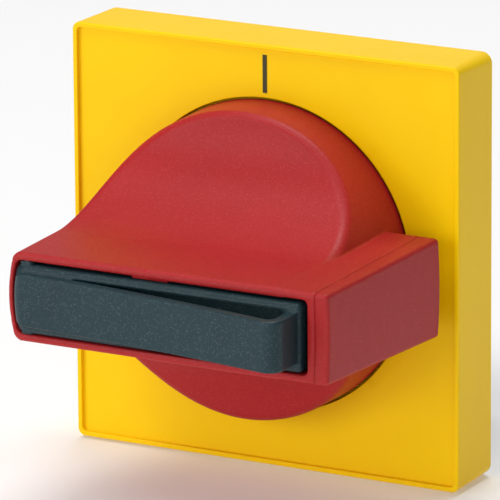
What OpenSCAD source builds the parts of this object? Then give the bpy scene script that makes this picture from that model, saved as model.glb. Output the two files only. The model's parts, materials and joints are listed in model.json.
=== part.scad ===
// Rotary isolator switch for a control panel door.
//
// A square front plate carries a red rotary handle that turns a quarter turn, and a three pole
// switch body hangs behind the plate. A hinged lever in the grip takes a padlock: swinging it out
// pushes a lock bolt into the plate.
//
// Frame: the origin is where the axis of rotation meets the door's front face. +X is right and +Z
// is up for someone facing the plate, and +Y runs through the door. The handle is at off, its
// short end at nine o'clock. Turning it to on brings that end to twelve o'clock.
// The modules measure depth from the plate's front rim, and on_door() moves the whole to the frame.

/* [Front plate] */
// Side of the square plate
plate_w = 75; // [74:0.5:80]
// Depth of the plate from rim to door
plate_t = 12.8; // [12.6:0.1:13]
// Width of the raised rim around the front panel
rim_w = 0.9; // [0.6:0.1:1.5]
// Depth of the front panel behind the rim
panel_recess = 0.8; // [0.5:0.1:1]
// Radius of the round well that the handle turns in
well_r = 28; // [27.9:0.1:28.4]
// Side of the square on which the door screw holes lie
door_screw_pitch = 56; // [56:0.5:57]
// Radius of the pilot holes for 4 mm thread-forming screws
door_screw_r = 1.65; // [1.5:0.05:1.8]

/* [Handle] */
// Radius of the handle's round part at the plate
drum_r_rear = 27.5; // [27.3:0.1:27.5]
// Radius of the handle's round part at the front of the grip
drum_r_front = 26.85; // [26.8:0.05:27]
// Distance from the plate's rim to the front of the grip
grip_front = 41.3; // [41.3:0.1:43]
// Half the grip's height at its front
grip_half_front = 7.8; // [7.8:0.1:8.2]
// Half the grip's height at its rear
grip_half_rear = 8.7; // [8.7:0.1:9]
// Reach of the grip's long end, front
grip_reach_front = 34.3; // [34.3:0.1:36]
// Reach of the grip's long end, rear
grip_reach_rear = 36.2; // [36.2:0.1:37]
// Radius of the sweep from the grip up to the round part
sweep_r = 19.5; // [19.4:0.1:20]

/* [Padlock lever] */
// Half the height of the lever's slab
slab_half = 5.8; // [5.5:0.1:5.9]
// Thickness of the finger bow
bow_t = 1.9; // [1.5:0.1:2]
// Radius of the lever's hinge pin
lever_pin_r = 0.75; // [0.7:0.05:0.8]

/* [Switch body] */
// Thickness of the door sheet that the switch is made for
door_t = 2.5; // [1:0.5:3]
// Width of the switch body
body_w = 40; // [40:0.5:42]
// Height of the switch body
body_h = 48; // [48:0.5:50]
// Distance between two poles along the shaft
pole_pitch = 6.5; // [6.5:0.1:6.6]
// Side of the square drive shaft
shaft_w = 6; // [5:0.5:6]

/* [Hidden] */
$fn = 64;
eps = 0.01;
far = 60;

// front plate
plate_corner_r = 1.4;
plate_wall = 2.4;
well_floor_y = 3.4;
well_floor_t = 2.4;
well_wall = 2.2;
floor_back_y = well_floor_y + well_floor_t;
tube_r_out = 14;
tube_r_in = 12.3;
gasket_t = 1;
gasket_inset = 1.2;
gasket_back_y = plate_t + gasket_t;
cover_front_y = gasket_back_y + door_t + 0.5;
cover_t = 4.5;
tube_end_y = cover_front_y + 2.4;
boss_r = 4.2;
mark_t = 0.1;
mark_ring_r = 32.1;

// handle
rear_y = 1.6;
wall = 2.4;
grip_rear_y = -4.3;
seam_x_front = 31.65;
seam_x_rear = 32.4;
end_bulge_r = 85;
slope = (grip_half_rear - grip_half_front) / (grip_front + grip_rear_y);
sweep_y = -8.3 - sweep_r;
sweep_z = grip_half_front + slope * (grip_front + sweep_y) + sweep_r;
recess_back_y = -27.5;
recess_half = 6.45;
recess_right_x = 30.25;
recess_end_r = 25.95;
hub_r = 8.5;
neck_r = 11;
neck_end_y = 12.4;
bush_end_y = 9.2;
ring_groove_y = 9.8;
shaft_front_y = -15.5;
shaft_rear_y = cover_front_y + 7.2;
lug_angle = 240;
lug_half_angle = 6;
stop_clearance = 0.5;
turn = 90;

// lock bolt
bolt_x = -18.5;
bolt_r = 1.95;
bolt_head_half = 2.8;
bolt_head_rear_y = -28.5;
bolt_pocket_y = -24.9;
spring_seat_y = -14;
spring_wire_r = 0.25;
spring_mean_r = 2.55;
spring_turns = 7;

// padlock lever
pin_x = -23.3;
pin_y = -40.3;
lever_swing = 25;
tail_len = 10;
tail_tip_r = 1.2;
slab_front_y = -40.6;
slab_back_y = -35.2;
slab_end_x = 29.3;
slab_end_r = 25.6;
bow_start_x = -17.5;
bow_corner_x = 26.4;
bow_half_left = 5.05;
bow_half_right = 4.4;
// wedge faces of the tail and the bolt stay this far apart
wedge_gap = 0.3;

// switch body
cover_back_y = cover_front_y + cover_t;
base_back_y = cover_back_y + 24.2;
base_wall = 2;
chamber_r = 13.2;
bearing_r = 8;
rotor_clearance = 0.06;
pole_y = [for (i = [0:2]) cover_back_y + 5.7 + i * pole_pitch];
pole_x = [-12, 0, 12];
bridge_t = 1;
bridge_half_w = 2.5;
bridge_reach = 11.3;
strip_t = 0.8;
strip_gap = 0.3;
tab_y = cover_back_y + 9.7;
wire_gap = 4.4;
clamp_half_w = 3.6;
clamp_z0 = 17.2;
clamp_z1 = 21.6;
hollow_z0 = 13.8;
hollow_y0 = cover_back_y + 1.7;
partition_x = 6;
housing_screw_x = 17;
housing_screw_z = 9;
detent_y0 = cover_back_y + 1;
detent_y1 = cover_back_y + 3;
detent_half = 7.3;

// moves the origin from the plate's front rim to the door's front face
module on_door()
    translate([0, -gasket_back_y, 0])
        children();

// extrudes a shape drawn in x and z from y0 to y1
module from_xz(y0, y1)
    translate([0, y1, 0])
        rotate([90, 0, 0])
            linear_extrude(height = y1 - y0)
                children();

// extrudes a shape drawn in y and z from x0 to x1
module from_yz(x0, x1)
    translate([x0, 0, 0])
        rotate([90, 0, 90])
            linear_extrude(height = x1 - x0)
                children();

// extrudes a shape drawn in x and y from z0 to z1
module from_xy(z0, z1)
    translate([0, 0, z0])
        linear_extrude(height = z1 - z0)
            children();

// cylinder or cone along y, its axis at x and z
module rod_y(y0, y1, r0, r1 = -1, x = 0, z = 0)
    translate([x, y0, z])
        rotate([-90, 0, 0])
            cylinder(h = y1 - y0, r1 = r0, r2 = r1 < 0 ? r0 : r1);

module tube_y(y0, y1, r_out, r_in)
    difference() {
        rod_y(y0, y1, r_out);
        rod_y(y0 - 1, y1 + 1, r_in);
    }

// box between two corners
module block(low, high)
    translate(low)
        cube(high - low);

// square drawn from its centre
module middle_square(w, h)
    translate([-w / 2, -h / 2])
        square([w, h]);

module rounded_square(w, r)
    union() {
        middle_square(w - 2 * r, w);
        middle_square(w, w - 2 * r);
        for (x = [-1, 1], z = [-1, 1])
            translate([x * (w / 2 - r), z * (w / 2 - r)])
                circle(r = r);
    }

// pie slice in x and z around a polar angle
module slice(angle, half)
    polygon([[0, 0],
        [far * cos(angle - half), far * sin(angle - half)],
        [far * cos(angle), far * sin(angle)],
        [far * cos(angle + half), far * sin(angle + half)]]);

// part of a ring around the axis, used for the lug and the stops
module ring_segment(y0, y1, r_in, r_out, angle, half)
    intersection() {
        tube_y(y0, y1, r_out, r_in);
        from_xz(y0 - 1, y1 + 1)
            slice(angle, half);
    }

// ---- front plate ----

module plate_corners(pitch)
    for (x = [-1, 1], z = [-1, 1])
        translate([x * pitch / 2, 0, z * pitch / 2])
            children();

module plate_shell()
    difference() {
        from_xz(0, plate_t)
            rounded_square(plate_w, plate_corner_r);
        from_xz(-1, panel_recess)
            rounded_square(plate_w - 2 * rim_w, plate_corner_r - 0.6);
        rod_y(-1, well_floor_y, well_r);
        difference() {
            from_xz(panel_recess + plate_wall, plate_t + 1)
                middle_square(plate_w - 2 * plate_wall, plate_w - 2 * plate_wall);
            rod_y(panel_recess + plate_wall - 1, floor_back_y, well_r + well_wall);
            plate_corners(door_screw_pitch)
                rod_y(panel_recess + plate_wall - 1, plate_t + 2, boss_r);
            // stiffening ribs from the well to the walls
            for (a = [0:90:270])
                rotate([0, a, 0])
                    for (z = [-18, 18])
                        block([well_r - 4, panel_recess, z - 0.6], [plate_w / 2, plate_t - 2, z + 0.6]);
        }
    }

module front_plate()
    color([0.95, 0.73, 0.06])
        difference() {
            union() {
                plate_shell();
                tube_y(floor_back_y - eps, tube_end_y, tube_r_out, tube_r_in);
                end_stops();
                // the screw bosses stand level with the gasket's back and stop it being crushed
                plate_corners(door_screw_pitch)
                    rod_y(plate_t - 1, gasket_back_y, boss_r);
            }
            rod_y(well_floor_y - 1, floor_back_y + 1, tube_r_in);
            plate_corners(door_screw_pitch)
                rod_y(gasket_back_y - 9, gasket_back_y + 1, door_screw_r);
            // one lock hole for off and one for on
            for (a = [0, turn])
                rotate([0, a, 0])
                    rod_y(well_floor_y - 1, floor_back_y + 1, bolt_r + 0.35, x = bolt_x);
        }

// The stops rise from the well's floor. They are part of the same moulding.
module end_stops() {
    first = lug_angle + lug_half_angle + stop_clearance;
    last = lug_angle - turn - lug_half_angle - stop_clearance;
    for (a = [first + 7, last - 7])
        ring_segment(2, well_floor_y + 0.5, 24.8, well_r + 0.5, a, 7);
}

// generic off and on marks
module position_marks()
    color([0.35, 0.33, 0.3])
        from_xz(panel_recess - mark_t, panel_recess) {
            translate([-0.4, 28.8])
                square([0.8, 6.7]);
            translate([-mark_ring_r, 0])
                difference() {
                    circle(r = 3);
                    circle(r = 2.2);
                }
        }

module shaft_bush()
    color([0.9, 0.9, 0.86])
        tube_y(well_floor_y + 0.1, bush_end_y, tube_r_in - 0.02, neck_r + 0.06);

module plate_gasket()
    color([0.12, 0.12, 0.12])
        difference() {
            from_xz(plate_t, gasket_back_y)
                rounded_square(plate_w - 2 * gasket_inset, plate_corner_r);
            rod_y(plate_t - 1, gasket_back_y + 1, 31);
            plate_corners(door_screw_pitch)
                rod_y(plate_t - 1, gasket_back_y + 1, boss_r + 0.15);
        }

// ---- handle ----

// round part, less an even wall
module drum(inset = 0)
    rod_y(-grip_front, rear_y + (inset > 0 ? 1 : 0), drum_r_front - inset, drum_r_rear - inset);

// everything in front of the swept faces, above and below the grip
module sweep_cuts(inset = 0)
    for (s = [0, 1])
        mirror([0, 0, s]) {
            translate([-far, sweep_y, sweep_z])
                rotate([0, 90, 0])
                    cylinder(h = 2 * far, r = sweep_r + inset, $fn = 128);
            from_yz(-far, far)
                polygon([[-far, far / 2],
                    [-far, grip_half_front - inset + slope * (grip_front - far)],
                    [sweep_y + 0.5, sweep_z - sweep_r - inset + 0.5 * slope],
                    [sweep_y + 0.5, far / 2]]);
        }

// the grip as one straight block with a slightly rounded long end
module grip_block()
    intersection() {
        from_xy(-far, far)
            polygon([[0, -grip_front], [far, -grip_front], [far, grip_rear_y], [0, grip_rear_y]]);
        from_yz(-1, far)
            polygon([[-grip_front, -grip_half_front], [grip_rear_y, -grip_half_rear],
                [grip_rear_y, grip_half_rear], [-grip_front, grip_half_front]]);
        translate([-end_bulge_r, 0, 0])
            rod_y(-grip_front, grip_rear_y, end_bulge_r + grip_reach_front,
                end_bulge_r + grip_reach_rear, $fn = 128);
    }

// the part of space to the right of the end cap's seam
module beyond_seam(gap)
    from_xy(-far, far)
        polygon([[seam_x_front + gap, -grip_front - 1], [seam_x_rear + gap, grip_rear_y + 1],
            [far, grip_rear_y + 1], [far, -grip_front - 1]]);

// plug of the end cap in the side of the grip, drawn in y and z
module plug_shape(gap)
    translate([-22 + gap, -4.2 + gap])
        square([13 - 2 * gap, 8.4 - 2 * gap]);

module lever_recess()
    union() {
        intersection() {
            block([-far, -grip_front - 1, -recess_half], [recess_right_x, recess_back_y, recess_half]);
            union() {
                rod_y(-grip_front - 2, 0, recess_end_r);
                block([0, -grip_front - 2, -far], [far, 0, far]);
            }
        }
        // room for the bolt's head, and for its spring behind it
        block([-23.6, recess_back_y - 1, -3.1], [-15.3, bolt_pocket_y, 3.1]);
        rod_y(bolt_pocket_y - 1, spring_seat_y, 3.2, x = bolt_x);
        rod_y(spring_seat_y - 1, rear_y + 1, bolt_r + 0.1, x = bolt_x);
        translate([pin_x, pin_y, -far])
            cylinder(h = far + grip_half_front - 0.6, r = lever_pin_r + 0.03);
    }

// inside of the moulding, open towards the plate
module handle_hollow()
    difference() {
        union() {
            intersection() {
                drum(wall + 0.2);
                difference() {
                    block([-far, recess_back_y + wall, -far], [far, far, far]);
                    sweep_cuts(wall);
                }
            }
            block([15, recess_back_y + wall, -5.6], [30, grip_rear_y - wall, 5.6]);
        }
        rod_y(-grip_front, rear_y, hub_r);
        rod_y(-4, rear_y, neck_r);
        rod_y(-grip_front, rear_y, 4.6, x = bolt_x);
        block([-far, -grip_front, -5], [-13.2, bolt_pocket_y + 2, 5]);
        for (a = [0, 90])
            rotate([0, a, 0])
                block([-26, -grip_front, -0.8], [26, rear_y - 1, 0.8]);
    }

module handle_neck()
    difference() {
        rod_y(-4, neck_end_y, neck_r);
        tube_y(6.6, 8.2, neck_r + 1, 9.6);
        tube_y(ring_groove_y, ring_groove_y + 1.2, neck_r + 1, 10);
    }

module handle_body()
    color([0.68, 0.16, 0.16])
        difference() {
            union() {
                difference() {
                    union() {
                        difference() {
                            drum();
                            sweep_cuts();
                        }
                        difference() {
                            grip_block();
                            beyond_seam(0);
                        }
                    }
                    handle_hollow();
                }
                handle_neck();
                ring_segment(rear_y - 0.5, 3, 25, 27.2, lug_angle, lug_half_angle);
            }
            lever_recess();
            // side opening for the end cap's plug, and a slot for its catch
            from_yz(29, 34)
                plug_shape(0);
            block([29, -35.4, -2], [34, -32.6, 2]);
            // square hole for the shaft and a clearance hole for its screw
            block([-shaft_w / 2 - 0.08, shaft_front_y - 0.3, -shaft_w / 2 - 0.08],
                [shaft_w / 2 + 0.08, far, shaft_w / 2 + 0.08]);
            rod_y(-far / 2, 0, 2.2);
        }

module handle_end_cap()
    color([0.62, 0.2, 0.19])
        union() {
            intersection() {
                grip_block();
                beyond_seam(0.04);
            }
            // hollow plug
            difference() {
                from_yz(29.6, 33)
                    plug_shape(0.12);
                from_yz(28, 32.6)
                    plug_shape(1.2);
            }
            // catch that the lever's end snaps behind
            block([29.75, -35.25, -1.85], [33, -32.75, 1.85]);
        }

// ---- padlock lever and lock bolt ----

// outer face of the finger bow, as distance in front of the origin
function bow_y(x) = -(45.4 + 0.125 * x + 0.0012 * x * x);

module bow_outline() {
    xs = [for (i = [0:10]) -22 + i * (bow_corner_x - 3 + 22) / 10];
    corner = [for (a = [100:-20:0])
        [bow_corner_x - 2.2 + 3.3 * cos(a), bow_y(bow_corner_x - 3) + 3 - 3 * sin(a)]];
    polygon(concat([for (x = xs) [x, bow_y(x)]], corner, [[28.9, slab_front_y + 1],
        [28.9 - bow_t, slab_front_y + 1]],
        [for (a = [0:30:90])
            [bow_corner_x - 2.4 + 1.6 * cos(a), bow_y(bow_corner_x - 3) + bow_t + 1.4 - 1.4 * sin(a)]],
        [for (i = [10:-1:1]) if (xs[i] < 23) [xs[i], bow_y(xs[i]) + bow_t]],
        [[bow_start_x, bow_y(bow_start_x) + bow_t], [bow_start_x, slab_front_y + 1],
        [-22, slab_front_y + 1]]));
}

// rounded left end around the hinge pin, drawn in x and y
module knuckle_outline()
    union() {
        translate([pin_x, pin_y - 0.4])
            circle(r = 2.3);
        polygon([[pin_x - 2.3, pin_y - 0.4], [pin_x - 2.3, slab_back_y], [-18, slab_back_y],
            [-18, slab_front_y - 1.9], [-20, bow_y(-20)], [pin_x, pin_y - 2.7]]);
    }

module padlock_lever()
    color([0.2, 0.26, 0.28])
        difference() {
            union() {
                // slab that fills the recess, hollowed behind the bow
                difference() {
                    block([-20, slab_front_y, -slab_half], [slab_end_x, slab_back_y, slab_half]);
                    block([bow_start_x + 0.4, slab_front_y - 1, -3.4], [26.2, slab_front_y + 4, 3.4]);
                }
                // end round the pin, kept inside the recess's curved wall at both ends of the swing
                intersection() {
                    from_xy(-slab_half, slab_half)
                        knuckle_outline();
                    rod_y(-far, 0, slab_end_r);
                    translate([pin_x, pin_y, 0])
                        rotate([0, 0, lever_swing])
                            translate([-pin_x, -pin_y, 0])
                                rod_y(-far, 0, slab_end_r + 0.15);
                }
                // finger bow, a little lower towards its free corner
                intersection() {
                    from_xy(-slab_half, slab_half)
                        bow_outline();
                    from_xz(-far, far)
                        polygon([[-26, -bow_half_left], [30, -bow_half_right],
                            [30, bow_half_right], [-26, bow_half_left]]);
                }
                // boss that runs against both sides of the recess
                translate([pin_x, pin_y, 0])
                    cylinder(h = 2 * recess_half - 0.2, r = 1.3, center = true);
                // tail that drives the bolt
                from_xy(-2.5, 2.5) {
                    translate([pin_x, pin_y + tail_len])
                        circle(r = tail_tip_r);
                    translate([pin_x - tail_tip_r, slab_back_y - 1])
                        square([2 * tail_tip_r, pin_y + tail_len - slab_back_y + 1]);
                }
            }
            translate([pin_x, pin_y, -far])
                cylinder(h = 2 * far, r = lever_pin_r + 0.06);
            // notch for the cap's catch
            block([29, -36.2, -2.4], [30, -34, 2.4]);
        }

module lever_pin()
    color([0.7, 0.7, 0.72])
        translate([pin_x, pin_y, -grip_half_front + 0.1])
            cylinder(h = 2 * grip_half_front - 0.8, r = lever_pin_r);

module lock_bolt() {
    // the wedge face runs at 45 degrees beside the tail's round tip
    c = pin_x + pin_y + tail_len + (tail_tip_r + wedge_gap) * sqrt(2);
    front = -33.2;
    color([0.78, 0.78, 0.74])
        union() {
            from_xy(-bolt_head_half, bolt_head_half)
                polygon([[c - front, front], [-15.6, front], [-15.6, bolt_head_rear_y],
                    [c - bolt_head_rear_y, bolt_head_rear_y]]);
            rod_y(bolt_head_rear_y - 2, rear_y - 0.1, bolt_r, x = bolt_x);
        }
}

// closed coil swept as a ring of points along a helix about y
module bolt_spring() {
    sides = 8;
    steps = 16 * spring_turns;
    y0 = bolt_head_rear_y + spring_wire_r + 0.05;
    y1 = spring_seat_y - spring_wire_r - 0.05;
    points = [for (i = [0:steps], k = [0:sides - 1])
        let (a = 360 * spring_turns * i / steps, b = 360 * k / sides,
            r = spring_mean_r + spring_wire_r * cos(b))
        [bolt_x + r * cos(a), y0 + (y1 - y0) * i / steps + spring_wire_r * sin(b), r * sin(a)]];
    skin = [for (i = [0:steps - 1], k = [0:sides - 1])
        let (a = i * sides + k, b = i * sides + (k + 1) % sides)
        [a, a + sides, b + sides, b]];
    ends = [[for (k = [0:sides - 1]) k], [for (k = [sides - 1:-1:0]) steps * sides + k]];
    color([0.72, 0.72, 0.74])
        polyhedron(points = points, faces = concat(skin, ends));
}

// ---- shaft and its fastenings ----

module handle_screw()
    color([0.75, 0.75, 0.77])
        difference() {
            union() {
                rod_y(recess_back_y - 3.2, recess_back_y - 0.6, 3.5);
                rod_y(recess_back_y - 1, -6, 1.95);
            }
            for (a = [0, 90])
                rotate([0, a, 0])
                    block([-2.2, recess_back_y - 4, -0.45], [2.2, recess_back_y - 1.8, 0.45]);
        }

module screw_washer()
    color([0.7, 0.7, 0.72])
        tube_y(recess_back_y - 0.6, recess_back_y, 4, 2.1);

module drive_shaft()
    color([0.66, 0.66, 0.68])
        difference() {
            block([-shaft_w / 2, shaft_front_y, -shaft_w / 2], [shaft_w / 2, shaft_rear_y, shaft_w / 2]);
            rod_y(shaft_front_y - 1, -5, 2.02);
        }

module neck_seal()
    color([0.1, 0.1, 0.1])
        translate([0, 7.4, 0])
            rotate([90, 0, 0])
                rotate_extrude()
                    translate([10.33, 0])
                        circle(r = 0.7, $fn = 24);

module thrust_washer()
    color([0.72, 0.72, 0.74])
        tube_y(bush_end_y + 0.08, bush_end_y + 0.5, tube_r_in - 0.15, neck_r + 0.1);

module retaining_ring()
    color([0.3, 0.3, 0.32])
        difference() {
            tube_y(ring_groove_y + 0.08, ring_groove_y + 1.1, tube_r_in - 0.3, 10.05);
            block([-3, ring_groove_y - 1, -far], [3, ring_groove_y + 3, 0]);
        }

// ---- switch body ----

module switch_cover()
    color([0.22, 0.23, 0.24])
        difference() {
            block([-body_w / 2, cover_front_y, -body_h / 2], [body_w / 2, cover_back_y, body_h / 2]);
            rod_y(cover_front_y - 1, tube_end_y + 0.2, tube_r_out + 0.1);
            rod_y(cover_front_y, cover_back_y + 1, bearing_r + rotor_clearance);
            // clamping screws enter from both sides
            translate([-far, cover_front_y + 1.3, 0])
                rotate([0, 90, 0])
                    cylinder(h = 2 * far, r = 1.05);
            for (x = [-1, 1], z = [-1, 1])
                rod_y(cover_front_y + 1, cover_back_y + 1, 1.3,
                    x = x * housing_screw_x, z = z * housing_screw_z);
        }

// hollow for three terminals at the top, mirrored for the bottom
module terminal_hollow() {
    back = base_back_y - base_wall;
    difference() {
        block([-body_w / 2 + base_wall, hollow_y0, 0],
            [body_w / 2 - base_wall, back, body_h / 2 - base_wall]);
        // side shoulders beside the rotor chamber
        for (s = [-1, 1])
            block([s > 0 ? 5 : -far, 0, -1], [s > 0 ? far : -5, far, hollow_z0]);
        for (s = [-1, 1])
            block([s * partition_x - 0.8, 0, clamp_z0 - 0.4], [s * partition_x + 0.8, far, far]);
    }
    for (x = pole_x) {
        // wire entry
        block([x - 2.5, tab_y - wire_gap - 0.1, body_h / 2 - base_wall - 1],
            [x + 2.5, tab_y - 0.05, body_h / 2 + 1]);
        // screwdriver hole
        rod_y(back - 1, base_back_y + 1, 2.7, x = x, z = (clamp_z0 + clamp_z1) / 2);
    }
}

module switch_base()
    color([0.16, 0.17, 0.18])
        difference() {
            block([-body_w / 2, cover_back_y, -body_h / 2], [body_w / 2, base_back_y, body_h / 2]);
            rod_y(cover_back_y - 1, base_back_y - base_wall, chamber_r);
            rod_y(base_back_y - 3, base_back_y - 0.8, 4.0);
            for (s = [0, 1])
                mirror([0, 0, s])
                    terminal_hollow();
            // slots that hold the detent springs' ends
            for (s = [-1, 1])
                block([s * 7.75 - 0.45, cover_back_y - 1, -12], [s * 7.75 + 0.45, detent_y1 + 0.2, 12]);
            for (x = [-1, 1], z = [-1, 1]) {
                rod_y(cover_back_y - 1, base_back_y + 1, 1.55,
                    x = x * housing_screw_x, z = z * housing_screw_z);
                rod_y(base_back_y - 1.8, base_back_y + 1, 2.7,
                    x = x * housing_screw_x, z = z * housing_screw_z);
            }
        }

module clamp_screws()
    color([0.75, 0.75, 0.77])
        for (s = [0, 1])
            mirror([s, 0, 0])
                translate([tube_r_out + 0.02, cover_front_y + 1.3, 0])
                    rotate([0, 90, 0])
                        cylinder(h = body_w / 2 - tube_r_out - 0.4, r = 1);

module housing_screws()
    color([0.75, 0.75, 0.77])
        for (x = [-1, 1], z = [-1, 1])
            translate([x * housing_screw_x, 0, z * housing_screw_z])
                difference() {
                    union() {
                        rod_y(cover_front_y + 1.3, base_back_y - 1.7, 1.25);
                        rod_y(base_back_y - 1.8, base_back_y - 0.2, 2.5);
                    }
                    block([-2, base_back_y - 0.9, -0.3], [2, base_back_y, 0.3]);
                }

// turns with the shaft and carries the three bridges
module rotor()
    color([0.85, 0.83, 0.76])
        difference() {
            union() {
                rod_y(tube_end_y + 0.4, cover_back_y + 0.5, bearing_r);
                intersection() {
                    rod_y(cover_back_y + 0.4, detent_y1 + 0.2, 8.6);
                    block([-detent_half, 0, -detent_half], [detent_half, far, detent_half]);
                }
                rod_y(detent_y1, base_back_y - base_wall - 0.4, 6.5);
                rod_y(base_back_y - base_wall - 1, base_back_y - 1, 3.95);
            }
            block([-shaft_w / 2 - 0.1, 0, -shaft_w / 2 - 0.1],
                [shaft_w / 2 + 0.1, shaft_rear_y + 0.3, shaft_w / 2 + 0.1]);
            for (y = pole_y)
                block([-8, y - bridge_t / 2 - 0.02, -bridge_half_w - 0.05],
                    [8, y + bridge_t / 2 + 0.02, bridge_half_w + 0.05]);
        }

// knife bridge with rounded tips
module moving_bridge(i)
    color([0.8, 0.45, 0.3])
        from_xz(pole_y[i] - bridge_t / 2, pole_y[i] + bridge_t / 2)
            intersection() {
                middle_square(2 * bridge_reach, 2 * bridge_half_w);
                circle(r = bridge_reach);
            }

module moving_bridge_1() moving_bridge(0);
module moving_bridge_2() moving_bridge(1);
module moving_bridge_3() moving_bridge(2);

// fixed contact: a finger beside the bridge, a bar across, a riser and the terminal tab
module fixed_contact(i) {
    y = pole_y[i] + bridge_t / 2 + strip_gap;
    x = pole_x[i];
    color([0.8, 0.5, 0.34])
        union() {
            block([-2.6, y, 8.8], [2.6, y + strip_t, 16.6]);
            block([min(x, 0) - 2.6, y, hollow_z0 + 0.2], [max(x, 0) + 2.6, y + strip_t, 16.6]);
            block([x - 2.6, min(y, tab_y), 15.8], [x + 2.6, max(y, tab_y) + strip_t, 16.6]);
            block([x - 2.6, tab_y, 15.8], [x + 2.6, tab_y + strip_t, body_h / 2 - base_wall - 0.3]);
        }
}

module line_contact_1() fixed_contact(0);
module line_contact_2() fixed_contact(1);
module line_contact_3() fixed_contact(2);

module load_contact_1() mirror([0, 0, 1]) fixed_contact(0);
module load_contact_2() mirror([0, 0, 1]) fixed_contact(1);
module load_contact_3() mirror([0, 0, 1]) fixed_contact(2);

// spring leaf of each jaw, on the other side of the bridge
module contact_jaws()
    for (y = pole_y) {
        inner = bridge_t / 2 + strip_gap;
        from_yz(-2.1, 2.1)
            translate([y, 0])
                polygon([[-inner - 0.5, 9], [-inner, 9], [-inner, 12.4], [inner - 0.02, 12.4],
                    [inner - 0.02, 13.1], [-inner - 0.5, 13.1]]);
    }

module line_jaws()
    color([0.7, 0.7, 0.72])
        contact_jaws();

module load_jaws()
    color([0.7, 0.7, 0.72])
        mirror([0, 0, 1])
            contact_jaws();

// calls its children at each of the six terminals
module each_terminal()
    for (s = [0, 1])
        mirror([0, 0, s])
            for (x = pole_x)
                translate([x, tab_y, (clamp_z0 + clamp_z1) / 2])
                    children();

module terminal_clamps()
    color([0.72, 0.72, 0.66])
        each_terminal()
            difference() {
                half = (clamp_z1 - clamp_z0) / 2;
                block([-clamp_half_w, -wire_gap - 1, -half], [clamp_half_w, 5.8, half]);
                block([-clamp_half_w + 0.8, -wire_gap, -half - 1], [clamp_half_w - 0.8, 4.2, half + 1]);
                rod_y(3, 7, 1.6);
            }

module terminal_screws()
    color([0.75, 0.75, 0.77])
        each_terminal()
            difference() {
                union() {
                    rod_y(strip_t + 0.1, 7.2, 1.5);
                    rod_y(7, 9, 2.5);
                }
                block([-3, 8, -0.4], [3, 10, 0.4]);
            }

// flat springs that press on the rotor's square collar
module detent_springs()
    color([0.68, 0.68, 0.7])
        for (s = [-1, 1])
            block([s * 7.6 - 0.2, detent_y0 + 0.2, -11.8], [s * 7.6 + 0.2, detent_y1, 11.8]);

on_door() front_plate();
on_door() position_marks();
on_door() shaft_bush();
on_door() plate_gasket();
on_door() handle_body();
on_door() handle_end_cap();
on_door() padlock_lever();
on_door() lever_pin();
on_door() lock_bolt();
on_door() bolt_spring();
on_door() handle_screw();
on_door() screw_washer();
on_door() drive_shaft();
on_door() neck_seal();
on_door() thrust_washer();
on_door() retaining_ring();
on_door() switch_cover();
on_door() switch_base();
on_door() clamp_screws();
on_door() housing_screws();
on_door() rotor();
on_door() moving_bridge_1();
on_door() moving_bridge_2();
on_door() moving_bridge_3();
on_door() line_contact_1();
on_door() line_contact_2();
on_door() line_contact_3();
on_door() load_contact_1();
on_door() load_contact_2();
on_door() load_contact_3();
on_door() line_jaws();
on_door() load_jaws();
on_door() terminal_clamps();
on_door() terminal_screws();
on_door() detent_springs();
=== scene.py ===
"""Looks of a door-mounted rotary isolator switch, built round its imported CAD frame.

Shapes are worked out in millimetres from the middle of the front plate's rim, with +X right and
+Z up for someone facing the plate and +Y into the panel, as in the CAD. place() moves them to the
frame, in metres.
"""
import json
import math

import bmesh
import bpy
import numpy as np
from bpy.props import FloatProperty, FloatVectorProperty, PointerProperty
from mathutils import Matrix, Vector


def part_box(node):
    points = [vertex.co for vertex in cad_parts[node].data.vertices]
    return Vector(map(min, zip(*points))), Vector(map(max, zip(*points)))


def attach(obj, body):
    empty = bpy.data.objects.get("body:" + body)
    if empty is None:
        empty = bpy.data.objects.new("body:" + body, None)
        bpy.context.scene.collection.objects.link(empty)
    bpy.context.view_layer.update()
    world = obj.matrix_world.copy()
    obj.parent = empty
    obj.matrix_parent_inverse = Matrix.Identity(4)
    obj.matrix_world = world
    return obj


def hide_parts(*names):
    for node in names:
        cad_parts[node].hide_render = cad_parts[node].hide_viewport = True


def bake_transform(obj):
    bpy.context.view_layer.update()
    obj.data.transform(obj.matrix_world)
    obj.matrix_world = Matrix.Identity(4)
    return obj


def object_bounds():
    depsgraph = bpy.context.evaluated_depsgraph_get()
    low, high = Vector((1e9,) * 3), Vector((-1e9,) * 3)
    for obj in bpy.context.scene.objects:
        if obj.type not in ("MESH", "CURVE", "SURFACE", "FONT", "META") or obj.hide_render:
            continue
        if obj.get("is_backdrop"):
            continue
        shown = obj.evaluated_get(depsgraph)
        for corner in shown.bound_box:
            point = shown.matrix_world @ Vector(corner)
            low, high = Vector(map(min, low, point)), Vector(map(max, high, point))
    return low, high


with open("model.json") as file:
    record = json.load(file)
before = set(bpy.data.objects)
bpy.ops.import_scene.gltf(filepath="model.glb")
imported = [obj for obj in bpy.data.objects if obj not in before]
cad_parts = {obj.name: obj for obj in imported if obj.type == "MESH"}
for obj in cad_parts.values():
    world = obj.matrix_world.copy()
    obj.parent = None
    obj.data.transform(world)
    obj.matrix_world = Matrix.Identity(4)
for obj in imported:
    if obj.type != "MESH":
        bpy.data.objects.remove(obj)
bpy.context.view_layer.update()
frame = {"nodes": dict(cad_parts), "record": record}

bl_info = {
    "name": "Rotary isolator switch",
    "version": (1, 0, 0),
    "blender": (4, 5, 0),
    "location": "View3D > Sidebar > Isolator",
    "description": "Builds the visible pieces of a door-mounted rotary isolator on its CAD frame",
    "category": "Object",
}

MM = 0.001
RIM_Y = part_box("front_plate")[0].y / MM
PLATE_W = (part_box("front_plate")[1].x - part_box("front_plate")[0].x) / MM
FAR = 90.0


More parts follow.
